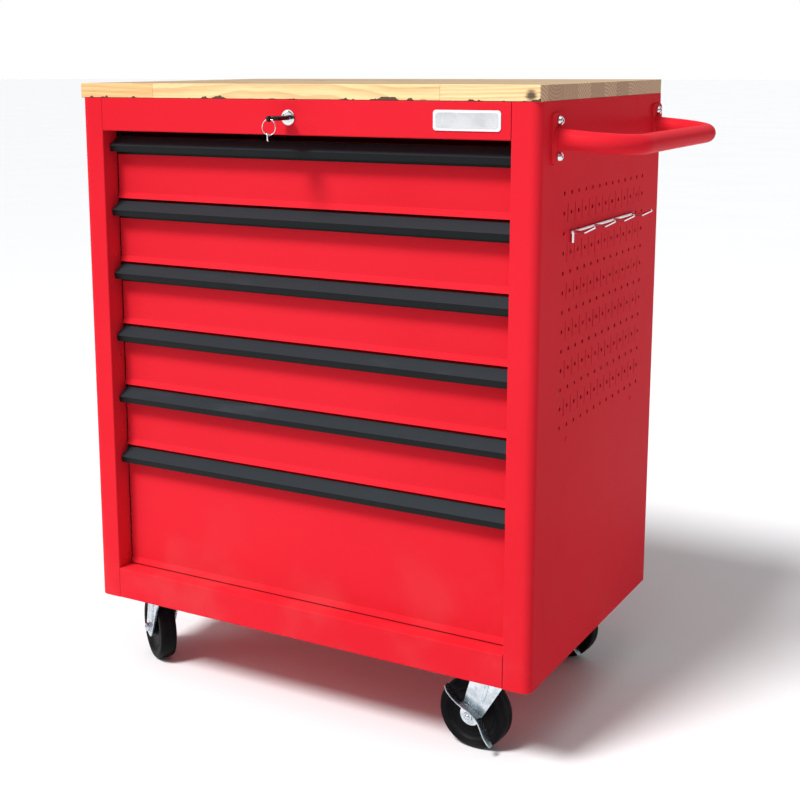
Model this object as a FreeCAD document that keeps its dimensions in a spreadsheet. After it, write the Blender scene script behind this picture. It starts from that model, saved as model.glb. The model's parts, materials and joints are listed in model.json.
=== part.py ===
import FreeCAD, Part
import math
import os
import re
import Sketcher

# A rolling tool box: a sheet-steel cabinet with six drawers on ball-bearing slides, a wooden
# worktop, a tubular push handle, a perforated side, a central lock and four swivel casters.
# Millimetres. +Z is up, the drawers face -Y and the floor is Z = 0, under the cabinet's centre.

doc = FreeCAD.newDocument("rolling_tool_box")
sheet = doc.addObject("Spreadsheet::Sheet", "dims")

SIZES = [
    # cabinet
    ("width", 700, "cabinet, outside, left to right"),
    ("depth", 455, "cabinet, outside, front to back"),
    ("body_height", 745, "steel cabinet without casters and worktop"),
    ("wheel_room", 22, "top of a wheel to the cabinet's lower edge"),
    ("metal", 1.2, "thickness of the cabinet's sheet steel"),
    ("top_thickness", 20, "wooden worktop"),
    ("top_bevel", 0.8, "broken edge of the worktop"),
    ("post_width", 37, "front face of a corner post"),
    ("post_side", 14, "part of the post that turns round the corner"),
    ("corner_radius", 12, "outer bend of a post"),
    ("bend_radius", 1.6, "outer bend of the other folds"),
    ("jamb_depth", 30, "post and rail returns beside the drawers"),
    ("rail_height", 46, "front rails above and below the drawers"),
    ("seam", 0.4, "gap between a rail and a post"),
    ("floor_recess", 10, "floor panel above the cabinet's lower edge"),
    ("press_depth", 3, "pressed fields of the back panel"),
    ("press_margin", 60, "plain border round the pressed fields"),
    ("upright_wide", 25, "slide upright, front to back"),
    ("upright_metal", 1.5, "thickness of a slide upright"),
    ("upright_inset", 42, "upright from the cabinet's front or back"),
    # drawers
    ("drawer_pitch", 92, "one shallow drawer to the next"),
    ("drawer_gap", 4, "drawer front to the strip below it"),
    ("side_gap", 2, "drawer front to the post"),
    ("top_gap", 9.5, "upper rail to the first pull strip"),
    ("base_gap", 2, "lowest drawer front to the lower rail"),
    ("face_recess", 29.5, "drawer front behind the cabinet's front"),
    ("face_depth", 12, "folded depth of a drawer front"),
    ("face_metal", 1, "sheet of a drawer front and tray"),
    ("lip_tall", 8.5, "slanted lower lip of a drawer front"),
    ("lip_out", 3.5, "how far that lip leans forward"),
    ("strip_wall", 1.8, "wall of the pull strip"),
    ("strip_out", 17.5, "pull strip, forward of the drawer front"),
    ("strip_drop", 12, "fall of the strip's slanted face"),
    ("strip_lip", 8.5, "height of the strip's front lip"),
    ("strip_lean", 1.5, "how far that lip leans back"),
    ("strip_flange", 25, "strip's flange down the drawer front"),
    ("tray_low", 5, "tray bottom above the front's lower edge"),
    ("tray_drop", 18, "tray rim below the front's top"),
    ("tray_rear", 24, "tray back to the cabinet's back"),
    # slides
    ("slide_space", 13, "room for a slide beside the tray"),
    ("slide_metal", 1.2, "sheet of a slide member"),
    ("slide_tall", 35, "fixed member, height"),
    ("slide_gap", 3.5, "fixed member's open side to the tray"),
    ("glide_tall", 23, "sliding member, height"),
    ("glide_gap", 2.5, "sliding member's open side to the fixed member's web"),
    ("slide_rise", 32, "slide's centre above the tray's bottom"),
    ("slide_rear", 31, "slides' rear ends from the cabinet's back"),
    ("slide_inset", 44, "slides behind the cabinet's front"),
    # lock
    ("lock_face", 20, "lock's front ring, diameter"),
    ("lock_proud", 2, "front ring stands off the rail"),
    ("lock_barrel", 17.6, "barrel, diameter"),
    ("lock_long", 26, "barrel behind the rail's front"),
    ("lock_nut_wide", 25.6, "nut behind the rail, across corners"),
    ("lock_nut_thick", 4, "nut behind the rail"),
    ("plug_size", 11.9, "turning plug, diameter"),
    ("plug_play", 0.05, "running clearance round the plug"),
    ("tail_size", 6, "rod from the plug to the crank, diameter"),
    ("crank_arm", 5, "eccentric of the crank pin"),
    ("crank_rest", 45, "degrees that the pin lies below level when unlocked"),
    ("crank_pin", 4, "crank pin, diameter"),
    ("crank_disc", 17, "disc that carries the crank pin"),
    ("crank_back", 16, "crank disc from the cabinet's back"),
    ("crank_gap", 0.5, "crank disc to the lock bar"),
    ("blade_thick", 1.8, "key blade"),
    ("blade_wide", 7, "key blade, lying level"),
    ("blade_deep", 20, "key blade inside the plug"),
    ("blade_out", 5, "key blade between plug and bow"),
    ("key_play", 0.1, "key blade in the plug's keyway"),
    ("bow_size", 21, "key bow, across its rounded ends"),
    ("bow_long", 38, "key bow, from its shoulder to its tip"),
    ("bow_thick", 5, "key bow"),
    ("bow_hole", 4, "hole of the eye at the bow's tip"),
    ("bow_edge", 2, "that hole's centre beyond the bow's tip"),
    ("eye_size", 8, "eye at the bow's tip, diameter"),
    ("eye_thick", 3.5, "eye at the bow's tip"),
    ("ring_size", 20, "key ring, mean diameter"),
    ("ring_wire", 1.4, "wire of the key ring"),
    ("ring_play", 0.8, "wire to the edge of a hole it passes through"),
    ("tag_wide", 8, "tag on the key ring"),
    ("tag_tall", 11.5, "tag on the key ring"),
    ("tag_thick", 1.8, "tag on the key ring"),
    ("tag_hole", 3, "hole of the tag"),
    ("tag_edge", 2.8, "that hole's centre from the tag's top"),
    ("bar_wide", 20, "lock bar"),
    ("bar_thick", 3, "lock bar"),
    ("bar_slot_play", 0.3, "crank pin in the bar's slot"),
    ("catch_wide", 30, "catch behind each tray"),
    ("catch_deep", 10, "catch behind each tray"),
    ("catch_lip", 6, "lip that the bar's hook blocks"),
    ("hook_free", 8, "hook's tip below the catch plate when unlocked"),
    ("hook_tall", 10, "upright tip of a hook with its foot"),
    ("hook_gap", 4, "tray back to the hook's tip"),
    # badge
    ("badge_long", 90, "plain name plate"),
    ("badge_tall", 25, "plain name plate"),
    ("badge_thick", 1.2, "plain name plate"),
    ("badge_side", 95, "plate's centre from the cabinet's right side"),
    # perforated side
    ("hole_count", 13, "holes in a row, and rows"),
    ("hole_pitch", 25, "hole spacing both ways"),
    ("hole_size", 5.5, "hole diameter"),
    ("hole_shift", 6, "field of holes behind the middle of the side"),
    ("hole_drop", 114, "first row below the cabinet's top"),
    ("slit_tall", 24, "slit between two holes"),
    ("slit_wide", 1.8, "slit between two holes"),
    # push handle
    ("tube_size", 25, "push handle, diameter"),
    ("tube_wall", 1.5, "push handle"),
    ("handle_out", 87, "tube's centre line from the side"),
    ("handle_bend", 62, "bend radius of the tube"),
    ("handle_drop", 45, "tube's centre below the cabinet's top"),
    ("handle_near", 52, "near leg from the cabinet's front"),
    ("handle_far", 21, "far leg from the cabinet's back"),
    ("handle_tilt", 5, "degrees that the handle leans down"),
    ("flange_wide", 40, "end plate of the handle"),
    ("flange_tall", 62, "end plate of the handle"),
    ("flange_thick", 3, "end plate of the handle"),
    ("flange_corner", 9, "corner radius of the end plate"),
    ("bolt_space", 43, "bolts of one end plate"),
    ("bolt_size", 6, "handle bolt"),
    ("bolt_head", 12, "head diameter of a handle bolt"),
    ("bolt_proud", 5.5, "head height of a handle bolt"),
    ("bolt_nut", 5, "thickness of a handle bolt's nut"),
    ("bolt_tail", 3, "handle bolt past its nut"),
    # hook rack
    ("wire_size", 4, "wire of the hook rack"),
    ("rack_row", 2, "row of holes that the rack hangs in"),
    ("rack_first", 1, "column of its first hook"),
    ("rack_step", 3, "columns from hook to hook"),
    ("rack_hooks", 4, "hooks"),
    ("hook_reach", 16, "straight part of a hook"),
    ("hook_rise", 15, "upturned part of a hook"),
    ("hook_lean", 62, "degrees from upright of that part"),
    ("rack_end", 8, "rack's bar past its outer hooks"),
    ("rack_peg", 8, "rack's pegs behind the panel's face"),
    ("rack_leg", 14, "leg that rests on the panel"),
    # casters
    ("wheel_size", 100, "wheel diameter"),
    ("wheel_wide", 26, "wheel width"),
    ("tread_round", 4, "rounded edge of the tread"),
    ("rim_size", 74, "recessed side of the wheel, diameter"),
    ("rim_deep", 5, "recessed side of the wheel"),
    ("hub_size", 26, "hub diameter"),
    ("axle_size", 8, "axle bolt"),
    ("axle_play", 0.05, "running clearance on axle and king pin"),
    ("trail", 30, "axle behind the swivel axis"),
    ("fork_metal", 2.5, "fork"),
    ("fork_play", 2, "wheel to fork, each side"),
    ("crown_size", 54, "top of the fork, diameter"),
    ("crown_drop", 10, "top of the fork below the mounting plate's face"),
    ("crown_gap", 0.5, "ball gap between race and fork"),
    ("leg_wide", 52, "fork leg at the top"),
    ("leg_end", 15, "radius of the fork leg round the axle"),
    ("leg_front_drop", 12, "straight part of the leg's leading edge"),
    ("leg_rear_drop", 20, "straight part of the leg's trailing edge"),
    ("leg_rear_out", 4, "flare of the leg's trailing edge"),
    ("king_size", 12, "king pin"),
    ("king_head", 20, "king pin's head"),
    ("king_head_thick", 3, "king pin's head"),
    ("plate_long", 80, "mounting plate"),
    ("plate_wide", 60, "mounting plate"),
    ("plate_thick", 3, "mounting plate"),
    ("plate_hole", 8.5, "bolt hole of the mounting plate"),
    ("plate_space_long", 60, "bolt holes, left to right"),
    ("plate_space_wide", 40, "bolt holes, front to back"),
    ("swivel_side", 72, "swivel axis from the cabinet's side"),
    ("swivel_end", 62, "swivel axis from the cabinet's front or back"),
    ("nut_size", 15, "axle bolt's head and nut, across corners"),
    ("nut_thick", 5.5, "axle bolt's head and nut"),
    ("axle_tail", 2, "axle bolt past its nut"),
    ("pedal_wide", 14, "brake pedal"),
    ("pedal_metal", 2, "brake pedal"),
    ("pedal_play", 0.3, "brake pedal to fork"),
    ("heading_front_left", -36, "degrees, turned from rolling to the right"),
    ("heading_front_right", -3, "degrees"),
    ("heading_rear_left", 14, "degrees"),
    ("heading_rear_right", -5, "degrees"),
]
DRAWERS = 6

for row, (alias, size, meaning) in enumerate(SIZES, start=1):
    sheet.set(f"A{row}", alias)
    sheet.set(f"B{row}", str(size))
    sheet.set(f"C{row}", meaning)
    sheet.setAlias(f"B{row}", alias)
doc.recompute()
ALIASES = {alias for alias, size, meaning in SIZES}

# formulas shared by several pieces
FRONT = "(-depth / 2)"
BACK = "(depth / 2)"
SIDE = "(width / 2)"
BASE = "(wheel_size + wheel_room)"
TOP = f"({BASE} + body_height)"
FLOOR = f"({BASE} + floor_recess)"
OPENING = "(width / 2 - post_width)"
FACE = "(-depth / 2 + face_recess)"
FACE_BACK = "(-depth / 2 + face_recess + face_depth)"
TRAY_SIDE = "(width / 2 - post_width - slide_space)"
TRAY_BACK = "(depth / 2 - tray_rear)"
LOCK_Z = f"({TOP} - rail_height / 2)"
AXLE_Z = "(wheel_size / 2)"
PIN_X = "(crank_arm * cos(crank_rest * 1 deg))"
PIN_Z = f"({LOCK_Z} - crank_arm * sin(crank_rest * 1 deg))"
HANDLE_Z = f"({TOP} - handle_drop)"
HANDLE_SPAN = "(depth - handle_near - handle_far)"
FIRST_COLUMN = "(hole_shift - (hole_count - 1) * hole_pitch / 2)"


def full(formula):
    """The formula with every size name pointing at its cell."""
    return re.sub(r"[a-z][a-z_]+", lambda word: "dims." + word.group()
                  if word.group() in ALIASES else word.group(), str(formula))


def value(formula):
    result = sheet.evalExpression(full(formula))
    return float(getattr(result, "Value", result))


def bind(thing, field, formula):
    thing.setExpression(field, full(formula))


def move(thing, x="0", y="0", z="0", turn_axis=None, turn="0"):
    """Places a piece, turned about one of its own axes by an angle in degrees."""
    if turn_axis:
        thing.Placement.Rotation = FreeCAD.Rotation(FreeCAD.Vector(*turn_axis), 1)
        bind(thing, "Placement.Rotation.Angle", turn)
    for axis, formula in zip("xyz", (x, y, z)):
        bind(thing, f"Placement.Base.{axis}", formula)
    return thing


def box(name, x, y, z):
    """A box between two formulas on each axis."""
    piece = doc.addObject("Part::Box", name)
    for side, axis, (low, high) in zip(("Length", "Width", "Height"), "xyz", (x, y, z)):
        bind(piece, side, f"({high}) - ({low})")
        bind(piece, f"Placement.Base.{axis}", low)
    return piece


def rod(name, axis, radius, x, y, z):
    """A cylinder along one axis: that axis gets a pair of formulas, the others one."""
    piece = doc.addObject("Part::Cylinder", name)
    turns = {"x": ((0, 1, 0), 90), "y": ((1, 0, 0), -90), "z": ((0, 0, 1), 0)}
    about, angle = turns[axis]
    piece.Placement.Rotation = FreeCAD.Rotation(FreeCAD.Vector(*about), angle)
    bind(piece, "Radius", radius)
    for direction, place in zip("xyz", (x, y, z)):
        if direction == axis:
            bind(piece, "Height", f"({place[1]}) - ({place[0]})")
            place = place[0]
        bind(piece, f"Placement.Base.{direction}", place)
    return piece


def hexagon(name, radius, x, y, z):
    """A six-sided prism along Y."""
    piece = doc.addObject("Part::Prism", name)
    piece.Polygon = 6
    piece.Placement.Rotation = FreeCAD.Rotation(FreeCAD.Vector(1, 0, 0), -90)
    bind(piece, "Circumradius", radius)
    bind(piece, "Height", f"({y[1]}) - ({y[0]})")
    return move(piece, x, y[0], z)


def fuse(name, *pieces):
    joined = doc.addObject("Part::MultiFuse", name)
    joined.Shapes = list(pieces)
    joined.Refine = True
    return joined


def cut(name, base, *tools):
    removed = tools[0] if len(tools) == 1 else fuse(name + "_tools", *tools)
    result = doc.addObject("Part::Cut", name)
    result.Base = base
    result.Tool = removed
    return result


def group(name, pieces):
    together = doc.addObject("Part::Compound", name)
    together.Links = list(pieces)
    return together


def sketch_on(body, plane, corners):
    """A closed outline whose every corner is bound to a pair of formulas."""
    origin = next(feature for feature in body.Origin.OriginFeatures
                  if feature.Role == plane + "_Plane")
    sketch = body.newObject("Sketcher::SketchObject", body.Name + "_outline")
    sketch.AttachmentSupport = [(origin, "")]
    sketch.MapMode = "FlatFace"
    places = [FreeCAD.Vector(value(x), value(y), 0) for x, y in corners]
    for index, place in enumerate(places):
        following = places[(index + 1) % len(places)]
        sketch.addGeometry(Part.LineSegment(place, following), False)
    for index in range(len(places)):
        sketch.addConstraint(Sketcher.Constraint("Coincident", index, 2, (index + 1) % len(places), 1))
    for index, corner in enumerate(corners):
        for kind, formula, size in zip(("DistanceX", "DistanceY"), corner, places[index]):
            number = sketch.addConstraint(Sketcher.Constraint(kind, -1, 1, index, 1, size))
            bind(sketch, f"Constraints[{number}]", formula)
    return sketch


def extrusion(name, plane, corners, start, end):
    """An outline padded along X, Y or Z, from one formula to another."""
    body = doc.addObject("PartDesign::Body", name)
    sketch = sketch_on(body, plane, corners)
    pad = body.newObject("PartDesign::Pad", name + "_pad")
    pad.Profile = sketch
    pad.Reversed = plane == "XZ"
    bind(pad, "Length", f"({end}) - ({start})")
    bind(body, "Placement.Base." + {"XY": "z", "XZ": "y", "YZ": "x"}[plane], start)
    doc.recompute()
    return body


def turned(name, corners):
    """An outline of radius and height, revolved about Z."""
    body = doc.addObject("PartDesign::Body", name)
    sketch = sketch_on(body, "XZ", corners)
    revolution = body.newObject("PartDesign::Revolution", name + "_turned")
    revolution.Profile = sketch
    revolution.ReferenceAxis = (sketch, ["V_Axis"])
    revolution.Angle = 360
    doc.recompute()
    return body


def soften(body, radius, chosen, kind="Fillet"):
    """Rounds or bevels the edges of a body whose middles a test picks."""
    tip = body.Tip
    edges = [f"Edge{number}" for number, edge in enumerate(tip.Shape.Edges, start=1)
             if chosen(edge.CenterOfMass, edge)]
    feature = body.newObject("PartDesign::" + kind, f"{body.Name}_{kind.lower()}_{len(body.Group)}")
    feature.Base = (tip, edges)
    bind(feature, "Radius" if kind == "Fillet" else "Size", radius)
    body.Tip = feature
    doc.recompute()
    return body


def near(*targets, reach=0.3):
    """A test for edges that run through one of the given two-number places (X and Y)."""
    def test(middle, edge):
        return any(abs(middle.x - x) < reach and abs(middle.y - y) < reach for x, y in targets)
    return test


nodes = {}


def keep(name, piece):
    """Registers a finished sub-part under the name of its file."""
    piece.Label = name
    nodes[name] = piece
    return piece


# ---- cabinet shell --------------------------------------------------------------------------

def worktop():
    x, y = SIDE, BACK
    board = extrusion("worktop", "XY", [(f"-{x}", f"-{y}"), (x, f"-{y}"), (x, y), (f"-{x}", y)],
                      TOP, f"{TOP} + top_thickness")
    soften(board, "top_bevel", lambda middle, edge: True, "Chamfer")
    keep("worktop", board)


def front_post(side):
    """Folded corner post: a strip of the side, the rounded corner, the front and the jamb."""
    label = "right" if side > 0 else "left"
    x = {key: f"{side} * ({formula})" for key, formula in {
        "out": SIDE, "in_wall": f"{SIDE} - metal",
        "jamb": OPENING, "jamb_wall": f"{OPENING} + metal"}.items()}
    front, wall = FRONT, f"{FRONT} + metal"
    corners = [
        (x["out"], f"{FRONT} + post_side"), (x["out"], front), (x["jamb"], front),
        (x["jamb"], f"{FRONT} + jamb_depth"), (x["jamb_wall"], f"{FRONT} + jamb_depth"),
        (x["jamb_wall"], wall), (x["in_wall"], wall), (x["in_wall"], f"{FRONT} + post_side"),
    ]
    post = extrusion("front_post_" + label, "XY", corners, BASE, TOP)
    soften(post, "corner_radius", near((value(x["out"]), value(front))))
    soften(post, "corner_radius - metal", near((value(x["in_wall"]), value(wall))))
    soften(post, "bend_radius", near((value(x["jamb"]), value(front))))
    keep("front_post_" + label, post)


def side_punches():
    """The punches of the perforated side, one compound: rows of holes, every second with slits."""
    number = int(value("hole_count"))
    pitch, radius = value("hole_pitch"), value("hole_size / 2")
    start_y, start_z = value(FIRST_COLUMN), value(f"{TOP} - hole_drop")
    outside = value(f"{SIDE} + metal")
    through = value("3 * metal")
    slit_wide, slit_tall = value("slit_wide"), value("slit_tall")
    punches = []
    for row in range(number):
        z = start_z - row * pitch
        for column in range(number):
            place = FreeCAD.Vector(outside, start_y + column * pitch, z)
            punches.append(Part.makeCylinder(radius, through, place, FreeCAD.Vector(-1, 0, 0)))
        if row % 2:
            for column in range(number - 1):
                y = start_y + (column + 0.5) * pitch
                corner = FreeCAD.Vector(outside - through, y - slit_wide / 2, z - slit_tall / 2)
                punches.append(Part.makeBox(through, slit_wide, slit_tall, corner))
    return punches


def bolt_punches():
    """The punches of the four holes for the push handle's bolts."""
    punches = []
    for leg in handle_legs():
        for row in (-1, 1):
            place = FreeCAD.Vector(value(f"{SIDE} + metal"), value(leg),
                                   value(f"{HANDLE_Z} + {row} * bolt_space / 2"))
            punches.append(Part.makeCylinder(value("bolt_size / 2"), value("3 * metal"), place,
                                             FreeCAD.Vector(-1, 0, 0)))
    return punches


def side_panels():
    for side, label in ((-1, "left"), (1, "right")):
        edges = sorted((f"{side} * {SIDE}", f"{side} * ({SIDE} - metal)"), key=value)
        name = "side_panel_" + label
        panel = box(name + "_blank", edges, (f"{FRONT} + post_side", BACK), (BASE, TOP))
        if side > 0:
            tools = doc.addObject("Part::Feature", "side_punches")
            tools.Shape = Part.makeCompound(side_punches() + bolt_punches())
            panel = cut(name, panel, tools)
        keep(name, panel)


def handle_legs():
    """Y of the push handle's two legs."""
    near_leg = f"({FRONT} + handle_near)"
    return near_leg, f"({near_leg} + {HANDLE_SPAN})"


def back_panel():
    inner = f"{SIDE} - metal"
    plate = box("back_plate", (f"-({inner})", inner), (f"{BACK} - metal", BACK), (BASE, TOP))
    fields, presses = [], []
    middle = f"({BASE} + body_height / 2)"
    heights = ((f"{BASE} + press_margin", f"{middle} - press_margin / 2"),
               (f"{middle} + press_margin / 2", f"{TOP} - press_margin"))
    reach = f"({inner} - press_margin)"
    for number, (low, high) in enumerate(heights):
        fields.append(box(f"back_field_{number}", (f"-{reach}", reach),
                          (f"{BACK} - metal - press_depth", f"{BACK} - metal"), (low, high)))
        presses.append(box(f"back_press_{number}", (f"-({reach} - metal)", f"{reach} - metal"),
                           (f"{BACK} - press_depth", f"{BACK} + metal"),
                           (f"{low} + metal", f"{high} - metal")))
    keep("back_panel", cut("back_panel", fuse("back_blank", plate, *fields), *presses))


def rails():
    """Folded front rails, open to the back."""
    reach = f"({OPENING} - seam)"
    for name, low, high in (("bottom_rail", BASE, f"({BASE} + rail_height)"),
                            ("top_rail", f"({TOP} - rail_height)", TOP)):
        back = f"{FRONT} + jamb_depth"
        wall = f"{FRONT} + metal"
        corners = [(FRONT, low), (FRONT, high), (back, high), (back, f"{high} - metal"),
                   (wall, f"{high} - metal"), (wall, f"{low} + metal"), (back, f"{low} + metal"),
                   (back, low)]
        rail = extrusion(name, "YZ", corners, f"-{reach}", reach)
        for z in (low, high):
            soften(rail, "bend_radius", lambda middle, edge, z=z: abs(middle.y - value(FRONT)) < 0.3
                   and abs(middle.z - value(z)) < 0.3 and edge.Length > value(OPENING))
        if name == "top_rail":
            hole_y = (f"{FRONT} - metal", f"{FRONT} + 2 * metal")
            hole = rod("lock_hole", "y", "lock_barrel / 2", "0", hole_y, LOCK_Z)
            rail = cut("top_rail_bored", rail, hole)
        keep(name, rail)


def inner_panels():
    inner = f"({SIDE} - metal)"
    front, rear = f"{FRONT} + jamb_depth", f"{BACK} - metal"
    height = (f"{TOP} - metal", TOP)
    keep("top_panel", box("top_panel", (f"-{inner}", inner), (front, rear), height))
    corners = [(front, BASE), (front, f"{FLOOR} + metal"), (rear, f"{FLOOR} + metal"),
               (rear, FLOOR), (f"{front} + metal", FLOOR), (f"{front} + metal", BASE)]
    keep("floor_panel", extrusion("floor_panel", "YZ", corners, f"-{inner}", inner))


def slide_uprights():
    """Four upright channels, open towards the cabinet's sides, that carry the slides."""
    channels = []
    for side in (-1, 1):
        for end, low in (("front", f"({FRONT} + upright_inset)"),
                         ("rear", f"({BACK} - upright_inset - upright_wide)")):
            name = f"upright_{end}_{'right' if side > 0 else 'left'}"
            outer = sorted((f"{side} * {OPENING}", f"{side} * ({SIDE} - metal)"), key=value)
            hollow = sorted((f"{side} * ({OPENING} + upright_metal)", f"{side} * {SIDE}"), key=value)
            height = (f"{FLOOR} + metal", f"{TOP} - metal")
            block = box(name + "_block", outer, (low, f"{low} + upright_wide"), height)
            core = box(name + "_core", hollow,
                       (f"{low} + upright_metal", f"{low} + upright_wide - upright_metal"), height)
            channels.append(cut(name, block, core))
    keep("slide_uprights", group("slide_uprights", channels))


# ---- drawers --------------------------------------------------------------------------------

def strip_top(number):
    """Top of a drawer's pull strip, counting from 0 at the top."""
    return f"({TOP} - rail_height - top_gap - {number} * drawer_pitch)"


def face_bottom(number):
    if number < DRAWERS - 1:
        return f"({strip_top(number + 1)} + drawer_gap)"
    return f"({BASE} + rail_height + base_gap)"


def tray_bottom(number):
    return f"({face_bottom(number)} + tray_low)"


def channel(name, side, web, opening, centre, tall, reach):
    """One folded slide member: web and opening are distances from the cabinet's centre."""
    outward = value(opening) > value(web)
    wall = f"{web} + slide_metal" if outward else f"{web} - slide_metal"
    past = f"{opening} + 1" if outward else f"{opening} - 1"
    block_x = sorted((f"{side} * ({web})", f"{side} * ({opening})"), key=value)
    core_x = sorted((f"{side} * ({wall})", f"{side} * ({past})"), key=value)
    block = box(name + "_block", block_x, reach, (f"{centre} - {tall} / 2", f"{centre} + {tall} / 2"))
    core = box(name + "_core", core_x, reach, (f"{centre} - {tall} / 2 + slide_metal",
                                             f"{centre} + {tall} / 2 - slide_metal"))
    return cut(name, block, core)


def slides():
    """Fixed members on the uprights, sliding members on each tray."""
    reach = (f"{FRONT} + slide_inset", f"{BACK} - slide_rear")
    fixed = []
    for number in range(DRAWERS):
        centre = f"({tray_bottom(number)} + slide_rise)"
        gliding = []
        for side, label in ((-1, "left"), (1, "right")):
            fixed.append(channel(f"rail_{number + 1}_{label}", side, OPENING,
                                 f"{TRAY_SIDE} + slide_gap", centre, "slide_tall", reach))
            gliding.append(channel(f"glide_{number + 1}_{label}", side, TRAY_SIDE,
                                   f"{OPENING} - glide_gap", centre, "glide_tall", reach))
        name = f"drawer_{number + 1}_glides"
        keep(name, group(name, gliding))
    keep("cabinet_slides", group("cabinet_slides", fixed))


def drawer(number):
    """Tray with its catch, folded front and pull strip."""
    name = f"drawer_{number + 1}"
    top, bottom, low = strip_top(number), face_bottom(number), tray_bottom(number)
    rim = f"({top} - tray_drop)"
    blank = box(name + "_blank", (f"-{TRAY_SIDE}", TRAY_SIDE), (FACE_BACK, TRAY_BACK), (low, rim))
    core_x = f"({TRAY_SIDE} - face_metal)"
    core = box(name + "_core", (f"-{core_x}", core_x),
               (f"{FACE_BACK} + face_metal", f"{TRAY_BACK} - face_metal"),
               (f"{low} + face_metal", f"{rim} + face_metal"))
    catch_x = ("-catch_wide / 2", "catch_wide / 2")
    catch_y = f"{TRAY_BACK} + catch_deep"
    plate = box(name + "_catch", catch_x, (TRAY_BACK, catch_y), (low, f"{low} + metal"))
    lip = box(name + "_catch_lip", catch_x, (f"{catch_y} - metal", catch_y),
              (f"{low} - catch_lip", low))
    keep(name + "_tray", fuse(name + "_tray", cut(name + "_shell", blank, core), plate, lip))

    wide = f"({OPENING} - side_gap)"
    wall = f"{FACE} + face_metal"
    corners = [
        (FACE_BACK, top), (FACE, top), (FACE, f"{bottom} + lip_tall"), (f"{FACE} - lip_out", bottom),
        (FACE_BACK, bottom), (FACE_BACK, f"{bottom} + face_metal"),
        (f"{wall} - lip_out", f"{bottom} + face_metal"), (wall, f"{bottom} + lip_tall"),
        (wall, f"{top} - face_metal"), (FACE_BACK, f"{top} - face_metal"),
    ]
    keep(name + "_front", extrusion(name + "_front", "YZ", corners, f"-{wide}", wide))

    ridge_y, ridge_z = f"{FACE} - strip_out", f"{top} - strip_drop"
    corners = [
        (FACE, top), (ridge_y, ridge_z), (f"{ridge_y} + strip_lean", f"{ridge_z} - strip_lip"),
        (f"{ridge_y} + strip_lean + strip_wall", f"{ridge_z} - strip_lip"),
        (f"{ridge_y} + strip_wall", f"{ridge_z} - 0.4 * strip_wall"),
        (f"{FACE} - strip_wall", f"{top} - 1.9 * strip_wall"),
        (f"{FACE} - strip_wall", f"{top} - strip_flange"), (FACE, f"{top} - strip_flange"),
    ]
    keep(name + "_pull", extrusion(name + "_pull", "YZ", corners, f"-{wide}", wide))


# ---- lock -----------------------------------------------------------------------------------

def lock():
    """Barrel in the upper rail, plug with a long tail and crank, and the bar that it lifts."""
    face = (f"{FRONT} - lock_proud", FRONT)
    ring = rod("lock_ring", "y", "lock_face / 2", "0", face, LOCK_Z)
    barrel_y = (FRONT, f"{FRONT} + lock_long")
    barrel = rod("lock_barrel_rod", "y", "lock_barrel / 2", "0", barrel_y, LOCK_Z)
    nut_y = (f"{FRONT} + metal", f"{FRONT} + metal + lock_nut_thick")
    nut = hexagon("lock_nut", "lock_nut_wide / 2", "0", nut_y, LOCK_Z)
    bore_y = (f"{FRONT} - 2 * lock_proud", f"{FRONT} + 2 * lock_long")
    bore = rod("lock_bore", "y", "plug_size / 2 + plug_play", "0", bore_y, LOCK_Z)
    keep("lock_case", cut("lock_case", fuse("lock_case_solid", ring, barrel, nut), bore))

    crank_y = (f"{BACK} - crank_back", f"{BACK} - crank_back + bar_thick")
    plug_y = (f"{FRONT} - lock_proud", f"{FRONT} + lock_long + metal")
    plug = rod("plug_rod", "y", "plug_size / 2", "0", plug_y, LOCK_Z)
    keyway = box("keyway", ("-blade_wide / 2 - key_play", "blade_wide / 2 + key_play"),
                 (f"{FRONT} - 2 * lock_proud", f"{FRONT} - lock_proud + blade_deep"),
                 (f"{LOCK_Z} - blade_thick / 2 - key_play", f"{LOCK_Z} + blade_thick / 2 + key_play"))
    tail = rod("plug_tail", "y", "tail_size / 2", "0", (f"{FRONT} + lock_long", crank_y[1]), LOCK_Z)
    disc = rod("crank_wheel", "y", "crank_disc / 2", "0", crank_y, LOCK_Z)
    pin_y = (crank_y[0], f"{crank_y[1]} + bar_thick + 4 * crank_gap")
    pin = rod("crank_stud", "y", "crank_pin / 2", PIN_X, pin_y, PIN_Z)
    keep("lock_plug", fuse("lock_plug", cut("plug_slotted", plug, keyway), tail, disc, pin))
    lock_bar(f"({BACK} - crank_back + bar_thick + crank_gap)")


def lock_bar(bar_front):
    """Upright bar behind the trays: a slot for the crank and one hook under each catch."""
    across = (f"{PIN_X} - bar_wide / 2", f"{PIN_X} + bar_wide / 2")
    lowest = f"{tray_bottom(DRAWERS - 1)} - hook_free - hook_tall"
    bar = box("bar_blank", across, (bar_front, f"{bar_front} + bar_thick"),
              (lowest, f"{LOCK_Z} + crank_disc / 2"))
    gap = "(crank_pin / 2 + bar_slot_play)"
    slot = box("bar_slot", (f"{PIN_X} - {gap}", f"crank_arm + {gap}"),
               (f"{bar_front} - metal", f"{bar_front} + bar_thick + metal"),
               (f"{PIN_Z} - {gap}", f"{PIN_Z} + {gap}"))
    hooks = []
    across = ("0", "bar_wide / 2")
    tip = (f"{TRAY_BACK} + hook_gap", f"{TRAY_BACK} + hook_gap + bar_thick")
    for number in range(DRAWERS):
        high = f"{tray_bottom(number)} - hook_free"
        foot = f"{high} - hook_tall"
        foot_z = (foot, f"{foot} + bar_thick")
        hooks.append(box(f"hook_foot_{number}", across, (tip[0], bar_front), foot_z))
        hooks.append(box(f"hook_tip_{number}", across, tip, (foot, high)))
    keep("lock_bar", fuse("lock_bar", cut("bar_slotted", bar, slot), *hooks))


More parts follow.
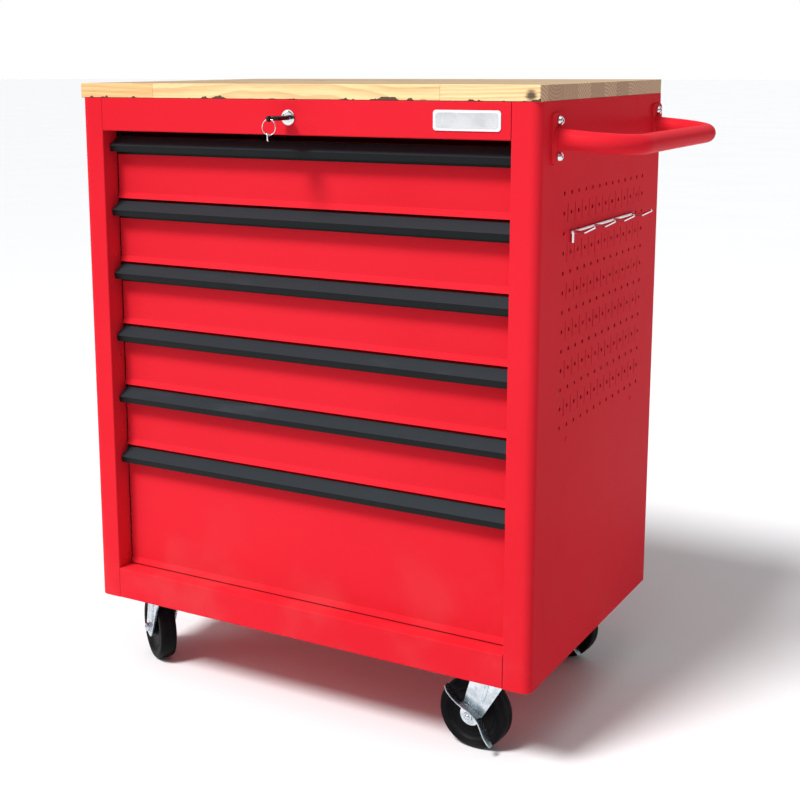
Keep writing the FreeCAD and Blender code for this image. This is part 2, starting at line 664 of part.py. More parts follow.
def keys():
    """The key in the lock, and the ring with its tag, short enough to clear the top drawer."""
    face = f"({FRONT} - lock_proud)"
    tip = f"({face} - blade_out - bow_long)"
    hole_y = f"({tip} - bow_edge)"
    blade = box("key_blade", ("-blade_wide / 2", "blade_wide / 2"),
                (f"{face} - blade_out - bow_size / 2", f"{face} + blade_deep"),
                (f"{LOCK_Z} - blade_thick / 2", f"{LOCK_Z} + blade_thick / 2"))
    bow_z = (f"{LOCK_Z} - bow_thick / 2", f"{LOCK_Z} + bow_thick / 2")
    ends_y = (f"{tip} + bow_size / 2", f"{face} - blade_out - bow_size / 2")
    bow = [rod(f"bow_end_{number}", "z", "bow_size / 2", "0", y, bow_z) for number, y in enumerate(ends_y)]
    bow.append(box("bow_middle", ("-bow_size / 2", "bow_size / 2"), ends_y, bow_z))
    eye = rod("key_eye", "x", "eye_size / 2", ("-eye_thick / 2", "eye_thick / 2"), hole_y, LOCK_Z)
    hole = rod("key_hole", "x", "bow_hole / 2", ("-eye_thick", "eye_thick"), hole_y, LOCK_Z)
    keep("key", cut("key", fuse("key_solid", blade, eye, *bow), hole))

    wire_top = f"({LOCK_Z} - bow_hole / 2 + ring_wire / 2 + ring_play)"
    ring = doc.addObject("Part::Torus", "ring_wire_loop")
    ring.Placement.Rotation = FreeCAD.Rotation(FreeCAD.Vector(1, 0, 0), 90)
    bind(ring, "Radius1", "ring_size / 2")
    bind(ring, "Radius2", "ring_wire / 2")
    move(ring, "0", hole_y, f"{wire_top} - ring_size / 2")
    ring_low = f"({wire_top} - ring_size)"
    eye_z = f"({ring_low} + ring_wire / 2 + ring_play - tag_hole / 2)"
    thick = ("-tag_thick / 2", "tag_thick / 2")
    high = f"({eye_z} + tag_edge - tag_wide / 2)"
    low = f"({high} - tag_tall + tag_wide)"
    ends = [rod(f"tag_end_{number}", "x", "tag_wide / 2", thick, hole_y, z)
            for number, z in enumerate((high, low))]
    middle = box("tag_middle", thick, (f"{hole_y} - tag_wide / 2", f"{hole_y} + tag_wide / 2"), (low, high))
    eye = rod("tag_eye", "x", "tag_hole / 2", ("-tag_thick", "tag_thick"), hole_y, eye_z)
    tag = cut("key_tag", fuse("tag_solid", middle, *ends), eye)
    keep("key_ring_tag", group("key_ring_tag", [ring, tag]))


def badge():
    middle = f"({SIDE} - badge_side)"
    low, high = f"{middle} - badge_long / 2", f"{middle} + badge_long / 2"
    z_low, z_high = f"{LOCK_Z} - badge_tall / 2", f"{LOCK_Z} + badge_tall / 2"
    plate = extrusion("badge", "XZ", [(low, z_low), (high, z_low), (high, z_high), (low, z_high)],
                      f"{FRONT} - badge_thick", FRONT)
    soften(plate, "badge_tall / 6", lambda middle, edge: abs(edge.Length - value("badge_thick")) < 0.01)
    keep("badge", plate)


# ---- push handle and hook rack --------------------------------------------------------------

def handle_tube(name, radius, overrun):
    """Legs, bends and grip in the plane Z = 0, with the first leg on the X axis."""
    pieces = []
    leg_x = (f"-({overrun})", "handle_out - handle_bend")
    for number, leg in enumerate(("0", HANDLE_SPAN)):
        pieces.append(rod(f"{name}_leg_{number}", "x", radius, leg_x, leg, "0"))
    grip_y = ("handle_bend", f"{HANDLE_SPAN} - handle_bend")
    pieces.append(rod(name + "_grip", "y", radius, "handle_out", grip_y, "0"))
    for number, (y, start) in enumerate((("handle_bend", 270), (f"{HANDLE_SPAN} - handle_bend", 0))):
        bend = doc.addObject("Part::Torus", f"{name}_bend_{number}")
        bend.Angle3 = 90
        bend.Placement.Rotation = FreeCAD.Rotation(FreeCAD.Vector(0, 0, 1), start)
        bind(bend, "Radius1", "handle_bend")
        bind(bend, "Radius2", radius)
        pieces.append(move(bend, "handle_out - handle_bend", y, "0"))
    return fuse(name, *pieces)


def push_handle():
    """Bent tube, leaning down a little, welded to two bolted end plates."""
    outer = handle_tube("tube_outside", "tube_size / 2", "flange_thick")
    inner = handle_tube("tube_inside", "tube_size / 2 - tube_wall", "2 * flange_thick")
    tube = cut("tube", outer, inner)
    move(tube, f"{SIDE} + flange_thick", handle_legs()[0], HANDLE_Z, (0, 1, 0), "handle_tilt")
    behind = box("behind_plates", (f"{SIDE} - tube_size", SIDE), (FRONT, BACK),
                 (f"{HANDLE_Z} - flange_tall", f"{HANDLE_Z} + flange_tall"))
    pieces = [cut("tube_trimmed", tube, behind)]
    bolts = []
    for number, leg in enumerate(handle_legs()):
        corners = [(f"{leg} + {y} * flange_wide / 2", f"{HANDLE_Z} + {z} * flange_tall / 2")
                   for y, z in ((-1, -1), (1, -1), (1, 1), (-1, 1))]
        plate = extrusion(f"end_plate_{number}", "YZ", corners, SIDE, f"{SIDE} + flange_thick")
        soften(plate, "flange_corner",
               lambda middle, edge: abs(edge.Length - value("flange_thick")) < 0.01)
        holes = []
        for row in (-1, 1):
            z = f"({HANDLE_Z} + {row} * bolt_space / 2)"
            tag = f"{number}_{'low' if row < 0 else 'high'}"
            hole_x = (f"{SIDE} - metal", f"{SIDE} + flange_thick + metal")
            holes.append(rod("plate_hole_" + tag, "x", "bolt_size / 2", hole_x, leg, z))
            bolts.append(handle_bolt(tag, leg, z))
        pieces.append(cut(f"end_plate_bored_{number}", plate, *holes))
    keep("push_handle", fuse("push_handle", *pieces))
    keep("handle_bolts", group("handle_bolts", bolts))


def handle_bolt(tag, y, z):
    """Domed head, shank and nut, turned about Z and laid along X."""
    shank, head = "bolt_size / 2", "bolt_head / 2"
    grip = "(metal + flange_thick)"
    nut, tail = f"-{grip} - bolt_nut", f"-{grip} - bolt_nut - bolt_tail"
    corners = [
        ("0", tail), (shank, tail), (shank, nut), (head, nut), (head, f"-{grip}"),
        (shank, f"-{grip}"), (shank, "0"), (head, "0"), (head, "0.3 * bolt_proud"),
        (f"0.82 * {head}", "0.75 * bolt_proud"), (f"0.5 * {head}", "bolt_proud"),
        (f"0.3 * {head}", "bolt_proud"), (f"0.3 * {head}", "0.5 * bolt_proud"),
        ("0", "0.5 * bolt_proud"),
    ]
    bolt = turned("handle_bolt_" + tag, corners)
    bolt.Placement.Rotation = FreeCAD.Rotation(FreeCAD.Vector(0, 1, 0), 90)
    return move(bolt, f"{SIDE} + flange_thick", y, z)


def hook_rack():
    """Wire rack: a bar along the panel, upturned hooks, two pegs in the holes and a leg."""
    radius = "wire_size / 2"
    x = f"({SIDE} + wire_size / 2)"
    z = f"({TOP} - hole_drop - rack_row * hole_pitch)"

    def column(hook):
        return f"({FIRST_COLUMN} + (rack_first + {hook} * rack_step) * hole_pitch)"

    count = int(value("rack_hooks"))
    ends = column(0), column(count - 1)
    pieces = [rod("rack_bar", "y", radius, x, (f"{ends[0]} - rack_end", f"{ends[1]} + rack_end"), z),
              rod("rack_leg_wire", "z", radius, x, ends[0], (f"{z} - rack_leg", z))]
    for hook in range(count):
        y = column(hook)
        corner = f"{x} + hook_reach"
        pieces.append(rod(f"rack_hook_{hook}", "x", radius, (x, corner), y, z))
        elbow = doc.addObject("Part::Sphere", f"rack_elbow_{hook}")
        bind(elbow, "Radius", radius)
        pieces.append(move(elbow, corner, y, z))
        tip = doc.addObject("Part::Cylinder", f"rack_tip_{hook}")
        bind(tip, "Radius", radius)
        bind(tip, "Height", "hook_rise")
        pieces.append(move(tip, corner, y, z, (0, 1, 0), "hook_lean"))
    for number, y in enumerate(ends):
        pieces.append(rod(f"rack_peg_{number}", "x", radius, (f"{SIDE} - rack_peg", x), y, z))
    keep("hook_rack", fuse("hook_rack", *pieces))


# ---- casters --------------------------------------------------------------------------------

CASTERS = {
    "front_left": (-1, -1, False),
    "front_right": (1, -1, True),
    "rear_left": (-1, 1, False),
    "rear_right": (1, 1, True),
}
CROWN_TOP = f"({FLOOR} - crown_drop)"
FORK_INSIDE = "(wheel_wide / 2 + fork_play)"
FORK_OUTSIDE = "(wheel_wide / 2 + fork_play + fork_metal)"


def swivel(corner):
    """X and Y of a caster's swivel axis."""
    side, end, brake = CASTERS[corner]
    return f"{side} * ({SIDE} - swivel_side)", f"{end} * ({BACK} - swivel_end)"


def stand(piece, corner):
    """Turns a piece made about the swivel axis to its caster's heading and sets it in place."""
    x, y = swivel(corner)
    return move(piece, x, y, "0", (0, 0, 1), "heading_" + corner)


def caster_plates():
    """Mounting plates with the fixed races and king pins, bolted under the floor panel."""
    plates = []
    for corner in CASTERS:
        x, y = swivel(corner)
        low = f"{FLOOR} - plate_thick"
        plate = box(f"plate_{corner}", (f"{x} - plate_long / 2", f"{x} + plate_long / 2"),
                    (f"{y} - plate_wide / 2", f"{y} + plate_wide / 2"), (low, FLOOR))
        holes = [rod(f"plate_hole_{corner}_{number}", "z", "plate_hole / 2",
                     f"{x} + {a} * plate_space_long / 2", f"{y} + {b} * plate_space_wide / 2",
                     (f"{low} - plate_thick", f"{FLOOR} + plate_thick"))
                 for number, (a, b) in enumerate(((-1, -1), (1, -1), (1, 1), (-1, 1)))]
        race = rod(f"race_{corner}", "z", "crown_size / 2", x, y, (f"{CROWN_TOP} + crown_gap", low))
        underside = f"({CROWN_TOP} - fork_metal - crown_gap)"
        king = rod(f"king_{corner}", "z", "king_size / 2", x, y, (underside, low))
        head_z = (f"{underside} - king_head_thick", underside)
        head = rod(f"king_head_{corner}", "z", "king_head / 2", x, y, head_z)
        bored = cut(f"plate_bored_{corner}", plate, *holes)
        plates.append(fuse(f"mount_{corner}", bored, race, king, head))
    keep("caster_plates", group("caster_plates", plates))


def fork(corner):
    """Crown with two tapering legs that reach down and back to the axle."""
    crown_z = (f"{CROWN_TOP} - fork_metal", CROWN_TOP)
    crown = rod(f"crown_{corner}", "z", "crown_size / 2", "0", "0", crown_z)
    corners = [
        ("-leg_wide / 2", CROWN_TOP), ("leg_wide / 2", CROWN_TOP),
        ("leg_wide / 2 - fork_metal", f"{CROWN_TOP} - leg_front_drop"),
        ("-trail + 0.8 * leg_end", f"{AXLE_Z} - 0.6 * leg_end"),
        ("-trail - 0.8 * leg_end", f"{AXLE_Z} - 0.6 * leg_end"), ("-trail - leg_end", AXLE_Z),
        ("-leg_wide / 2 - leg_rear_out", f"{CROWN_TOP} - leg_rear_drop"),
    ]
    legs = []
    for side, label in ((-1, "a"), (1, "b")):
        low, high = sorted((f"{side} * {FORK_INSIDE}", f"{side} * {FORK_OUTSIDE}"), key=value)
        blade = extrusion(f"leg_{label}_{corner}", "XZ", corners, low, high)
        end = rod(f"leg_end_{label}_{corner}", "y", "leg_end", "-trail", (low, high), AXLE_Z)
        legs += [blade, end]
    shoulder = box(f"shoulder_{corner}", ("-leg_wide / 2", "leg_wide / 2"),
                   (f"-{FORK_OUTSIDE}", FORK_OUTSIDE), crown_z)
    axle_hole = rod(f"axle_hole_{corner}", "y", "axle_size / 2", "-trail",
                    (f"-2 * {FORK_OUTSIDE}", f"2 * {FORK_OUTSIDE}"), AXLE_Z)
    king_hole = rod(f"king_hole_{corner}", "z", "king_size / 2 + axle_play", "0", "0",
                    (f"{CROWN_TOP} - 2 * fork_metal", f"{CROWN_TOP} + fork_metal"))
    solid = fuse(f"fork_solid_{corner}", crown, shoulder, *legs)
    name = f"caster_{corner}_fork"
    keep(name, stand(cut(name, solid, axle_hole, king_hole), corner))


def wheel(corner):
    """Moulded wheel: rounded tread, recessed sides and a hub with a running bore."""
    half, radius = "wheel_wide / 2", "wheel_size / 2"
    bore = "axle_size / 2 + axle_play"
    upper = [
        (bore, half), ("hub_size / 2 - 1", half), ("hub_size / 2", f"{half} - 1"),
        ("hub_size / 2 + 2", f"{half} - rim_deep"), ("rim_size / 2 - 2", f"{half} - rim_deep"),
        ("rim_size / 2", f"{half} - 1"), ("rim_size / 2 + 2", half), (f"{radius} - tread_round", half),
        (f"{radius} - 0.3 * tread_round", f"{half} - 0.3 * tread_round"), (radius, f"{half} - tread_round"),
    ]
    lower = [(r, f"-({z})") for r, z in reversed(upper)]
    name = f"caster_{corner}_wheel"
    body = turned(name + "_turned", upper + lower)
    body.Placement.Rotation = FreeCAD.Rotation(FreeCAD.Vector(1, 0, 0), 90)
    move(body, "-trail", "0", AXLE_Z)
    keep(name, stand(group(name, [body]), corner))


def axle_bolt(corner, brake):
    """Bolt through fork and wheel, its nut outside the brake pedal where there is one."""
    spacer = "pedal_play + pedal_metal + pedal_play" if brake else "0"
    low = f"(-{FORK_OUTSIDE} - ({spacer}))"
    shank_y = (f"{low} - nut_thick - axle_tail", FORK_OUTSIDE)
    shank = rod(f"axle_shank_{corner}", "y", "axle_size / 2", "-trail", shank_y, AXLE_Z)
    nut_y = (f"{low} - nut_thick", low)
    nut = hexagon(f"axle_nut_{corner}", "nut_size / 2", "-trail", nut_y, AXLE_Z)
    head_y = (FORK_OUTSIDE, f"{FORK_OUTSIDE} + nut_thick")
    head = hexagon(f"axle_head_{corner}", "nut_size / 2", "-trail", head_y, AXLE_Z)
    name = f"caster_{corner}_axle"
    keep(name, stand(fuse(name, shank, nut, head), corner))


# the brake pedal's outline from the axle, X and Z: the middle of its strip, and its cheek
PEDAL_LINE = [(-33, 40), (-31, 34), (-25, 27), (-13, 18), (0, 12), (11, 7), (18, 0), (23, -12),
              (29, -25), (36, -34)]
PEDAL_CHEEK = PEDAL_LINE[3:8] + [(12, -12), (0, -14), (-12, -6)]


def brake_pedal(corner):
    """Curved strip with a flat cheek round the axle bolt: one end locks and the other frees."""
    upper, lower = [], []
    for index, (x, z) in enumerate(PEDAL_LINE):
        before = PEDAL_LINE[max(index - 1, 0)]
        after = PEDAL_LINE[min(index + 1, len(PEDAL_LINE) - 1)]
        run, rise = after[0] - before[0], after[1] - before[1]
        length = math.hypot(run, rise)
        for side, edge in ((1, upper), (-1, lower)):
            edge.append((f"-trail + {x} - {side * rise / length:.4f} * pedal_metal / 2",
                         f"{AXLE_Z} + {z} + {side * run / length:.4f} * pedal_metal / 2"))
    outside = f"(-{FORK_OUTSIDE} - pedal_play)"
    strip = extrusion(f"pedal_strip_{corner}", "XZ", upper + lower[::-1],
                      f"{outside} - pedal_wide", outside)
    corners = [(f"-trail + {x}", f"{AXLE_Z} + {z}") for x, z in PEDAL_CHEEK]
    cheek = extrusion(f"pedal_cheek_{corner}", "XZ", corners, f"{outside} - pedal_metal", outside)
    hole_y = (f"{outside} - 2 * pedal_metal", f"{outside} + pedal_metal")
    hole = rod(f"pedal_hole_{corner}", "y", "axle_size / 2 + axle_play", "-trail", hole_y, AXLE_Z)
    name = f"caster_{corner}_pedal"
    keep(name, stand(cut(name, fuse(f"pedal_solid_{corner}", strip, cheek), hole), corner))


# ---- build, check, write --------------------------------------------------------------------

def build():
    worktop()
    for side in (-1, 1):
        front_post(side)
    side_panels()
    back_panel()
    rails()
    inner_panels()
    slide_uprights()
    slides()
    for number in range(DRAWERS):
        drawer(number)
    lock()
    keys()
    badge()
    push_handle()
    hook_rack()
    caster_plates()
    for corner, (side, end, brake) in CASTERS.items():
        fork(corner)
        wheel(corner)
        axle_bolt(corner, brake)
        if brake:
            brake_pedal(corner)
    doc.recompute()


def check_and_write():
    for thing in doc.Objects:
        if "Invalid" in thing.State or "Error" in thing.State:
            raise RuntimeError(f"{thing.Label} failed: {thing.State}")
    os.makedirs("parts", exist_ok=True)
    for name, piece in nodes.items():
        shape = piece.Shape
        if shape.isNull() or not shape.isValid() or not shape.Solids:
            raise RuntimeError(f"{name} has no valid solid")
    for name, piece in nodes.items():
        piece.Shape.exportStep(f"parts/{name}.step")
    print(len(nodes), "sub-parts written")


build()
check_and_write()
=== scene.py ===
import json
import math

import bmesh
import bpy
from mathutils import Matrix, Vector


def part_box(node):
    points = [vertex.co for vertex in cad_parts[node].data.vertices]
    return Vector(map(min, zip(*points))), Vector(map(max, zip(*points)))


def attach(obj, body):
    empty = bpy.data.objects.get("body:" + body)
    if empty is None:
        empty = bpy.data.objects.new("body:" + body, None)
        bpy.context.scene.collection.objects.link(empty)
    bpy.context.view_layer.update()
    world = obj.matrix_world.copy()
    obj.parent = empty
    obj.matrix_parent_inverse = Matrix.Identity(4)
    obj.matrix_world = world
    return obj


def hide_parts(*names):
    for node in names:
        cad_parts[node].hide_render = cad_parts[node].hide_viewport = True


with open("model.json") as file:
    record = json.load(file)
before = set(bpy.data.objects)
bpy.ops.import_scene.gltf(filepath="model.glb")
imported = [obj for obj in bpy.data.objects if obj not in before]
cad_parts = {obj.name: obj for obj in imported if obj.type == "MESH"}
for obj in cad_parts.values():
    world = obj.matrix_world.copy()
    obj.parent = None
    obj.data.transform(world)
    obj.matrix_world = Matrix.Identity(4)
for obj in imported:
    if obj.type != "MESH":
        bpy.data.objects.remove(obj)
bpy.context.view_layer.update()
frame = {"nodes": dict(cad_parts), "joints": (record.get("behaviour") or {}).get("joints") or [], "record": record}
nodes = frame["nodes"]
joints = {joint["name"]: joint for joint in frame["joints"]}
corners = ("front_left", "front_right", "rear_left", "rear_right")
print("frame loaded:", len(nodes), "CAD nodes")

camera = {"place": (0.96933, -1.73946, 0.91506), "azimuth": 30.38, "elevation": 10.708,
          "roll": 0.354, "lens": 61.533, "shift": (0.06875, -0.1)}
cameraData = bpy.data.cameras.new("camera")
cameraData.lens = camera["lens"]
cameraData.sensor_width = 36
cameraData.shift_x, cameraData.shift_y = camera["shift"]
cameraData.clip_start, cameraData.clip_end = 0.05, 80
cameraObject = bpy.data.objects.new("camera", cameraData)
bpy.context.scene.collection.objects.link(cameraObject)
azimuth, elevation = math.radians(camera["azimuth"]), math.radians(camera["elevation"])
backward = Vector((math.sin(azimuth) * math.cos(elevation),
                   -math.cos(azimuth) * math.cos(elevation), math.sin(elevation)))
turn = backward.to_track_quat("Z", "Y").to_matrix().to_4x4()
cameraObject.matrix_world = (Matrix.Translation(camera["place"]) @ turn
                             @ Matrix.Rotation(math.radians(-camera["roll"]), 4, "Z"))
bpy.context.scene.camera = cameraObject
bpy.context.scene.view_settings.view_transform = "Standard"

studio = {
    "sky": 0.26, "backdrop": 1.0,
    "suns": {"key": {"towards": (-0.22, -0.56, 0.80), "power": 3.7, "spread": 16},
             "back": {"towards": (0.10, 0.80, 0.60), "power": 0.35, "spread": 60}},
    "panels": {"left": {"place": (-2.6, -2.4, 2.2), "size": 1.6, "power": 22},
               "above": {"place": (0.6, -0.8, 3.2), "size": 1.8, "power": 18}},
    "aim": (0, 0, 0.45),
}


def lamp(name, kind, towards, settings, place=(0, 0, 0)):
    data = bpy.data.lights.new(name, kind)
    for key, setting in settings.items():
        setattr(data, key, setting)
    light = bpy.data.objects.new(name, data)
    light.location = place
    light.rotation_mode = "QUATERNION"
    light.rotation_quaternion = Vector(towards).to_track_quat("Z", "Y")
    bpy.context.scene.collection.objects.link(light)


for name, sun in studio["suns"].items():
    lamp(name, "SUN", sun["towards"], {"energy": sun["power"], "angle": math.radians(sun["spread"])})
for name, panel in studio["panels"].items():
    lamp(name, "AREA", Vector(panel["place"]) - Vector(studio["aim"]),
         {"size": panel["size"], "energy": panel["power"]}, panel["place"])
# a camera ray sees the white backdrop, all others the dimmer sky
world = bpy.data.worlds.new("studio")
world.use_nodes = True
sky = world.node_tree.nodes["Background"]
sky.inputs["Strength"].default_value = studio["sky"]
sky.inputs["Color"].default_value = (0.95, 0.98, 1, 1)
backdrop = world.node_tree.nodes.new("ShaderNodeBackground")
backdrop.inputs["Strength"].default_value = studio["backdrop"]
backdrop.inputs["Color"].default_value = (1, 1, 1, 1)
sight = world.node_tree.nodes.new("ShaderNodeLightPath")
either = world.node_tree.nodes.new("ShaderNodeMixShader")
for source, target in ((sight.outputs["Is Camera Ray"], either.inputs[0]),
                       (sky.outputs[0], either.inputs[1]), (backdrop.outputs[0], either.inputs[2]),
                       (either.outputs[0], world.node_tree.nodes["World Output"].inputs[0])):
    world.node_tree.links.new(source, target)
bpy.context.scene.world = world
print("camera and lights set")


# one socket of a shader tree, with maths as Python operators
class Signal:
    def __init__(self, finish, socket):
        self.finish, self.socket = finish, socket

    def maths(self, operation, first, second):
        return self.finish.add("ShaderNodeMath", {"operation": operation}, {0: first, 1: second})

    def __add__(self, other):
        return self.maths("ADD", self, other)

    def __sub__(self, other):
        return self.maths("SUBTRACT", self, other)

    def __rsub__(self, other):
        return self.maths("SUBTRACT", other, self)

    def __mul__(self, other):
        return self.maths("MULTIPLY", self, other)

    def __truediv__(self, other):
        return self.maths("DIVIDE", self, other)

    def __lt__(self, other):
        return self.maths("LESS_THAN", self, other)

    def __gt__(self, other):
        return self.maths("GREATER_THAN", self, other)

    def __abs__(self):
        return self.maths("ABSOLUTE", self, 0)

    __radd__ = __add__

    def only(self, operation, other=0.0):
        return self.maths(operation, self, other)

    def between(self, low, high):
        return self.finish.add("ShaderNodeMapRange", {"interpolation_type": "SMOOTHSTEP"},
                               {"Value": self, "From Min": low, "From Max": high})


# one material and its shader tree
class Finish:
    def __init__(self, name):
        self.material = bpy.data.materials.new(name)
        self.material.use_nodes = True
        self.tree = self.material.node_tree
        self.surface = self.tree.nodes["Principled BSDF"]
        self.place = self.add("ShaderNodeTexCoord", {}, {}, "Object")

    def add(self, kind, settings, inputs, output=0):
        node = self.tree.nodes.new(kind)
        for key, setting in settings.items():
            setattr(node, key, setting)
        for key, entry in inputs.items():
            self.put(node.inputs[key], entry)
        return Signal(self, node.outputs[output])

    def put(self, socket, entry):
        if isinstance(entry, Signal):
            self.tree.links.new(entry.socket, socket)
        elif isinstance(entry, tuple) and socket.type == "RGBA":
            socket.default_value = (*entry, 1)
        else:
            socket.default_value = entry

    def noise(self, scale, detail=2.0, stretch=None, rough=0.5):
        place = self.stretched(stretch) if stretch else self.place
        return self.add("ShaderNodeTexNoise", {}, {"Vector": place, "Scale": scale,
                                                   "Detail": detail, "Roughness": rough})

    def stretched(self, stretch):
        return self.add("ShaderNodeVectorMath", {"operation": "MULTIPLY"},
                        {0: self.place, 1: stretch})

    def axes(self, vector=None):
        split = self.tree.nodes.new("ShaderNodeSeparateXYZ")
        self.put(split.inputs[0], vector or self.place)
        return [Signal(self, socket) for socket in split.outputs]

    def mix(self, factor, first, second):
        return self.add("ShaderNodeMix", {"data_type": "RGBA"}, {0: factor, 6: first, 7: second}, 2)

    def bump(self, height, strength, distance):
        return self.add("ShaderNodeBump", {}, {"Height": height, "Strength": strength,
                                               "Distance": distance})

    def set(self, **inputs):
        for key, entry in inputs.items():
            self.put(self.surface.inputs[key.replace("_", " ")], entry)
        return self.material


# powder coat: orange peel, faint specks and scuffs, dust low down
def paint(name, values):
    made = Finish(name)
    z = made.axes()[2]
    mottle = made.noise(2.2, 3).between(0.3, 0.7)
    speck = made.noise(900, 1).between(0.60, 0.72)
    scuff = made.noise(26, 5, (1, 1, 0.25), 0.7).between(0.58, 0.75)
    dust = (1 - z.between(0.12, 0.34)) * made.noise(9, 4).between(0.45, 0.75)
    colour = made.mix(mottle, values["colour"], values["shade"])
    colour = made.mix(speck * 0.10, colour, values["shade"])
    colour = made.mix(dust * values["dust"], colour, (0.55, 0.42, 0.38))
    peel = made.noise(330, 2) * 0.7 + made.noise(1100, 1) * 0.3
    return made.set(Base_Color=colour, Specular_IOR_Level=values["shine"],
                    Roughness=values["rough"] + scuff * 0.14 + dust * 0.2,
                    Normal=made.bump(peel, values["peel"], 0.0006))


redPaint = paint("redPowderCoat", {"colour": (0.66, 0.0185, 0.031), "shade": (0.60, 0.014, 0.025),
                                   "rough": 0.36, "shine": 0.008, "peel": 0.16, "dust": 0.05})


# finger-jointed board: staves in rows, growth rings, knots, glue lines, and a dark band of chips along the front's
# lower edge that is partly painted shadow where the board sits on the cabinet
def wood(name, values):
    made = Finish(name)
    x, y, z = made.axes()
    wander = made.noise(3.0, 3) - 0.5
    rows = (y + 0.3) / values["stave"]
    row, across = rows.only("FLOOR"), rows.only("FRACT")
    rowSeed = made.add("ShaderNodeTexWhiteNoise", {"noise_dimensions": "1D"}, {"W": row})
    zigzag = ((y / values["finger"]).only("PINGPONG", 1.0) - 0.5) * values["fingerDeep"]
    along = (x + 5 + rowSeed * values["length"] + zigzag) / values["length"]
    place = made.add("ShaderNodeCombineXYZ", {}, {0: row, 1: along.only("FLOOR"), 2: 0.5})
    seed = made.add("ShaderNodeTexWhiteNoise", {"noise_dimensions": "3D"}, {"Vector": place})
    other = made.add("ShaderNodeTexWhiteNoise", {"noise_dimensions": "2D"}, {"Vector": place})
    # growth rings round a pith beside each stave, so that its end shows arcs
    pithY = (across + other * 3.4 - 2.2) * values["stave"]
    pithZ = z - values["top"] + 0.075 - seed * 0.13
    radius = (pithY * pithY + pithZ * pithZ).only("SQRT") + wander * values["wander"]
    ring = (radius / values["ring"]).only("FRACT").between(0.15, 1.0)
    fibre = made.noise(60, 4, (0.10, 5, 5), 0.65)
    pore = made.noise(260, 2, (0.06, 3, 3)).between(0.60, 0.74)
    colour = made.mix(seed, values["pale"], values["warm"])
    colour = made.mix(ring * 0.44, colour, values["dark"])
    colour = made.mix(fibre.between(0.42, 0.72) * 0.40, colour, values["dark"])
    colour = made.mix(pore * 0.30, colour, values["pore"])
    ends = abs(x) > values["half"] - 0.0006
    endTone = made.mix(ring * 0.75, made.mix(seed, values["end"], values["endWarm"]), values["endDark"])
    endTone = made.mix(made.noise(700, 2).between(0.5, 0.7) * 0.35, endTone, values["pore"])
    colour = made.mix(ends * 0.9, colour, endTone)
    knot = 0.0
    for knotX, knotY, knotZ, size in values["knots"]:
        dx, dy, dz = (x - knotX) * 0.8, y - knotY, (z - knotZ) * 0.8
        far = (dx * dx + dy * dy + dz * dz).only("SQRT") + (fibre - 0.5) * size * 1.1
        knot = (1 - far.between(size * 0.30, size)).only("MAXIMUM", knot)
    colour = made.mix(knot * 0.92, colour, values["knotColour"])
    # painted shadow: along the front face's lower edge, where the board sits on the cabinet, a near-black band at
    # least 0.6 mm high runs the full width and reaches higher in places as chips
    chipAndShadowDepth = made.noise(34, 3, (1, 0.6, 0.05), 0.65).between(0.50, 0.68) * values["chipAndShadow"]
    front = (y + values["front"]) < 0.0012
    chipAndShadow = ((z - values["top"] + values["thick"]) < chipAndShadowDepth + 0.0006) * front
    colour = made.mix(chipAndShadow * 0.95, colour, values["knotColour"])
    edge = abs(across - 0.5).between(0.488, 0.497)
    glue = abs(along.only("FRACT") - 0.5).between(0.4986, 0.4996)
    line = edge.only("MAXIMUM", glue * (1 - ends))
    colour = made.mix(line * 0.5, colour, values["pore"])
    worn = pore * 0.2 + fibre * 0.1 + ends * 0.15 + chipAndShadow * 0.4
    return made.set(Base_Color=colour, Roughness=0.30 + worn,
                    Coat_Weight=(0.5 - knot * 0.3 - ends * 0.3) * (1 - chipAndShadow), Coat_Roughness=0.12,
                    Normal=made.bump(fibre * 0.5 - line - pore * 0.4 - knot, 0.12, 0.0005))


worktopWood = wood("varnishedHardwood", {
    "stave": 0.048, "length": 0.44, "finger": 0.0042, "fingerDeep": 0.011, "ring": 0.0048,
    "wander": 0.034, "top": 0.887, "thick": 0.020, "half": 0.35, "front": 0.2275,
    "pale": (0.86, 0.64, 0.33), "warm": (0.76, 0.47, 0.19), "dark": (0.52, 0.25, 0.085),
    "pore": (0.25, 0.12, 0.045), "end": (0.60, 0.36, 0.19), "endWarm": (0.42, 0.23, 0.11),
    "endDark": (0.22, 0.12, 0.055), "knotColour": (0.035, 0.016, 0.010), "chipAndShadow": 0.0040,
    "knots": ((0.338, -0.2275, 0.875, 0.008), (0.196, -0.2275, 0.862, 0.008),
              (-0.115, 0.045, 0.887, 0.012), (0.09, 0.165, 0.887, 0.009))})


# plated metal: cloudy patches and fine drawn lines
def metal(name, values):
    made = Finish(name)
    cloud = made.noise(values["cloud"], 4, None, 0.6)
    line = made.noise(values["lines"], 2, values["stretch"])
    colour = made.mix(cloud.between(0.35, 0.68), values["colour"], values["other"])
    return made.set(Base_Color=colour, Metallic=1.0,
                    Roughness=values["rough"] + cloud * values["spread"] + line * 0.05,
                    Normal=made.bump(line + cloud * 0.4, values["grain"], 0.0003))


zincPlate = metal("brightZinc", {
    "cloud": 70, "lines": 260, "stretch": (1, 1, 0.10), "colour": (0.70, 0.80, 0.84),
    "other": (0.44, 0.53, 0.58), "rough": 0.14, "spread": 0.20, "grain": 0.20})
chrome = metal("polishedChrome", {
    "cloud": 30, "lines": 500, "stretch": (1, 1, 1), "colour": (0.80, 0.81, 0.82),
    "other": (0.68, 0.69, 0.71), "rough": 0.06, "spread": 0.08, "grain": 0.03})
